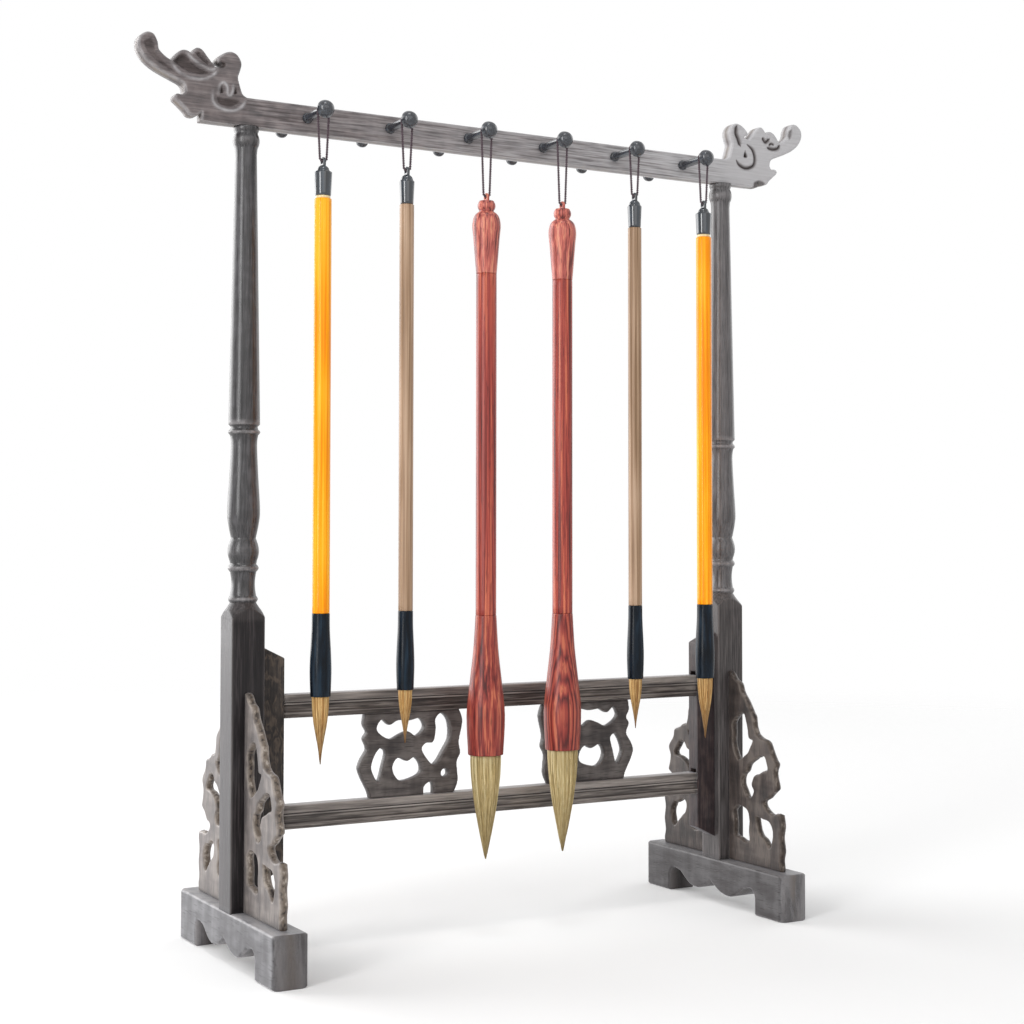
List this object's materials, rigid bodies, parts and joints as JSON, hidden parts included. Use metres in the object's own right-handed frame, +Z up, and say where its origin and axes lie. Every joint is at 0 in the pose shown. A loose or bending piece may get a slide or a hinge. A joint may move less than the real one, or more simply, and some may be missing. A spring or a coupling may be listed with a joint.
{
  "type": "brush rack",
  "caption": "Free-standing wooden rack with carved dragon-head beam, pegs on both sides, pierced brackets and panels, and writing brushes hung by cord loops",
  "frame": {"origin": "on the floor under the middle of the rack", "axes": "X along the beam, -Y the front where the brushes hang, Z up"},
  "size_m": [0.3784, 0.124, 0.4246],
  "materials": {
    "rack_wood": "dark grey-brown open-grained hardwood, worn wax",
    "peg_wood": "turned ebony, polished",
    "loop_cord": "thin dark brown cord",
    "black_horn": "polished blue-black horn",
    "pale_bone": "pale bone ring",
    "orange_lacquer": "orange lacquered cane with paler streaks",
    "taupe_cane": "taupe brown cane, satin",
    "rosewood": "red rosewood with dark streaks, satin",
    "brown_hair": "golden brown hair",
    "pale_hair": "pale olive-tan hair"
  },
  "bodies": {
    "rack": {"beam": "rack_wood", "upper_rail": "rack_wood", "lower_rail": "rack_wood", "left_foot": "rack_wood", "left_post": "rack_wood", "left_stile": "rack_wood", "left_panel": "rack_wood", "right_foot": "rack_wood", "right_post": "rack_wood", "right_stile": "rack_wood", "right_panel": "rack_wood", "left_front_bracket": "rack_wood", "left_back_bracket": "rack_wood", "right_front_bracket": "rack_wood", "right_back_bracket": "rack_wood", "front_peg_1": "peg_wood", "front_peg_2": "peg_wood", "front_peg_3": "peg_wood", "front_peg_4": "peg_wood", "front_peg_5": "peg_wood", "front_peg_6": "peg_wood", "back_peg_1": "peg_wood", "back_peg_2": "peg_wood", "back_peg_3": "peg_wood", "back_peg_4": "peg_wood", "back_peg_5": "peg_wood", "back_peg_6": "peg_wood"},
    "loop_1": {"brush_1_loop": "loop_cord"},
    "brush_1": {"brush_1_cap": "black_horn", "brush_1_collar": "pale_bone", "brush_1_handle": "orange_lacquer", "brush_1_ferrule": "black_horn", "brush_1_tuft": "brown_hair"},
    "loop_2": {"brush_2_loop": "loop_cord"},
    "brush_2": {"brush_2_cap": "black_horn", "brush_2_handle": "taupe_cane", "brush_2_ferrule": "black_horn", "brush_2_tuft": "brown_hair"},
    "loop_3": {"brush_3_loop": "loop_cord"},
    "brush_3": {"brush_3_finial": "rosewood", "brush_3_handle": "rosewood", "brush_3_bell": "rosewood", "brush_3_tuft": "pale_hair"},
    "loop_4": {"brush_4_loop": "loop_cord"},
    "brush_4": {"brush_4_finial": "rosewood", "brush_4_handle": "rosewood", "brush_4_bell": "rosewood", "brush_4_tuft": "pale_hair"},
    "loop_5": {"brush_5_loop": "loop_cord"},
    "brush_5": {"brush_5_cap": "black_horn", "brush_5_handle": "taupe_cane", "brush_5_ferrule": "black_horn", "brush_5_tuft": "brown_hair"},
    "loop_6": {"brush_6_loop": "loop_cord"},
    "brush_6": {"brush_6_cap": "black_horn", "brush_6_collar": "pale_bone", "brush_6_handle": "orange_lacquer", "brush_6_ferrule": "black_horn", "brush_6_tuft": "brown_hair"}
  },
  "joints": [
    {"name": "loop_1_swing", "type": "hinge", "parent": "rack", "child": "loop_1", "pos_m": [-0.1075, -0.0247, 0.39337], "axis": [0, 1, 0], "range_deg": [-3, 3]},
    {"name": "brush_1_tilt", "type": "hinge", "parent": "loop_1", "child": "brush_1", "pos_m": [-0.1075, -0.0247, 0.36938], "axis": [-1, 0, 0], "range_deg": [-2.8, 45]},
    {"name": "loop_2_swing", "type": "hinge", "parent": "rack", "child": "loop_2", "pos_m": [-0.0645, -0.0247, 0.39337], "axis": [0, 1, 0], "range_deg": [-2.5, 2.5]},
    {"name": "brush_2_tilt", "type": "hinge", "parent": "loop_2", "child": "brush_2", "pos_m": [-0.0645, -0.0247, 0.36938], "axis": [-1, 0, 0], "range_deg": [-2.8, 45]},
    {"name": "loop_3_swing", "type": "hinge", "parent": "rack", "child": "loop_3", "pos_m": [-0.0215, -0.0247, 0.39337], "axis": [0, 1, 0], "range_deg": [-2.5, 2.5]},
    {"name": "brush_3_tilt", "type": "hinge", "parent": "loop_3", "child": "brush_3", "pos_m": [-0.0215, -0.0247, 0.36088], "axis": [-1, 0, 0], "range_deg": [-2.2, 45]},
    {"name": "loop_4_swing", "type": "hinge", "parent": "rack", "child": "loop_4", "pos_m": [0.0215, -0.0247, 0.39337], "axis": [0, 1, 0], "range_deg": [-2.5, 2.5]},
    {"name": "brush_4_tilt", "type": "hinge", "parent": "loop_4", "child": "brush_4", "pos_m": [0.0215, -0.0247, 0.36088], "axis": [-1, 0, 0], "range_deg": [-2.2, 45]},
    {"name": "loop_5_swing", "type": "hinge", "parent": "rack", "child": "loop_5", "pos_m": [0.0645, -0.0247, 0.39337], "axis": [0, 1, 0], "range_deg": [-2.5, 2.5]},
    {"name": "brush_5_tilt", "type": "hinge", "parent": "loop_5", "child": "brush_5", "pos_m": [0.0645, -0.0247, 0.36938], "axis": [-1, 0, 0], "range_deg": [-2.8, 45]},
    {"name": "loop_6_swing", "type": "hinge", "parent": "rack", "child": "loop_6", "pos_m": [0.1075, -0.0247, 0.39337], "axis": [0, 1, 0], "range_deg": [-3, 3]},
    {"name": "brush_6_tilt", "type": "hinge", "parent": "loop_6", "child": "brush_6", "pos_m": [0.1075, -0.0247, 0.36938], "axis": [-1, 0, 0], "range_deg": [-2.8, 45]}
  ]
}
